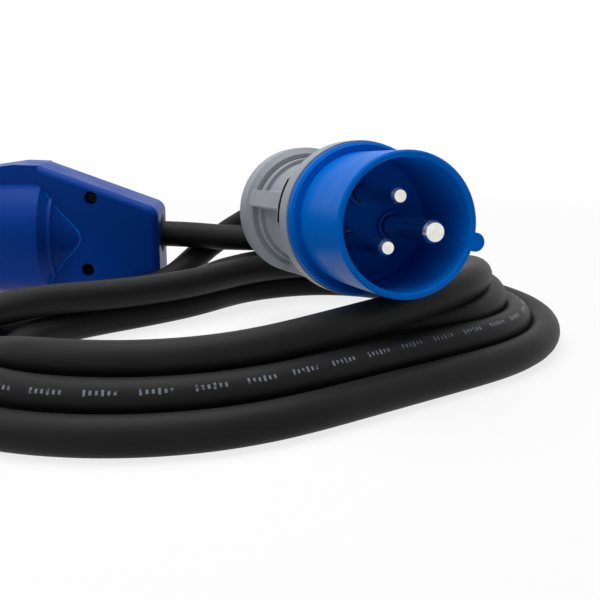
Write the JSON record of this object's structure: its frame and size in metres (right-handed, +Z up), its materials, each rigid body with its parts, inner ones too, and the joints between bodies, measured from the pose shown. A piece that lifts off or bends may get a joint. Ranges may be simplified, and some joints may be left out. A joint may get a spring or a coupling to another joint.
{
  "type": "extension cable",
  "caption": "Black rubber extension cable in an oval coil, with a blue and grey round three-pin industrial plug and a blue coupler with a sprung lid.",
  "frame": {"origin": "on the floor, under the coil's front run, in front of the coil's middle", "axes": "+Z up from the floor, +Y away from the side that the plug faces, +X to the right"},
  "size_m": [0.2733, 0.2282, 0.0736],
  "materials": {
    "blue_plastic": "smooth moulded, glossy",
    "grey_plastic": "smooth moulded, satin",
    "dark_plastic": "moulded, satin",
    "nickel_brass": "turned, bright plated",
    "steel": "bright zinc plated",
    "cable_rubber": "smooth, slightly shiny",
    "seal_rubber": "matt",
    "brown_core": "satin",
    "blue_core": "satin",
    "green_core": "satin, yellow stripe"
  },
  "bodies": {
    "cable": {"plug_shroud": "blue_plastic", "plug_live_pin": "nickel_brass", "plug_neutral_pin": "nickel_brass", "plug_earth_pin": "nickel_brass", "plug_carrier": "dark_plastic", "plug_terminal_screws": "steel", "plug_housing": "grey_plastic", "plug_gland_nut": "grey_plastic", "plug_gland_seal": "seal_rubber", "plug_clamp_ring": "grey_plastic", "plug_live_core": "brown_core", "plug_neutral_core": "blue_core", "plug_earth_core": "green_core", "coupler_near_shell": "blue_plastic", "coupler_far_shell": "blue_plastic", "coupler_tail_screws": "steel", "coupler_collar": "blue_plastic", "coupler_insert": "dark_plastic", "coupler_live_contact": "nickel_brass", "coupler_neutral_contact": "nickel_brass", "coupler_earth_contact": "nickel_brass", "coupler_terminal_screws": "steel", "coupler_cord_clamp": "dark_plastic", "coupler_clamp_screws": "steel", "coupler_grommet": "seal_rubber", "coupler_live_core": "brown_core", "coupler_neutral_core": "blue_core", "coupler_earth_core": "green_core", "coupler_hinge_pin": "steel", "coupler_lid_spring": "steel", "cable_coil": "cable_rubber", "cable_plug_lead": "cable_rubber", "cable_coupler_lead": "cable_rubber"},
    "lid": {"coupler_lid": "blue_plastic", "coupler_lid_gasket": "seal_rubber"}
  },
  "joints": [
    {"name": "coupler_lid_hinge", "type": "hinge", "parent": "cable", "child": "lid", "pos_m": [-0.1835, 0.147, 0.056], "axis": [0, 1, 0], "range_deg": [0, 110], "stiffness_Nm_per_rad": 0.05, "springref_deg": -34.38}
  ]
}
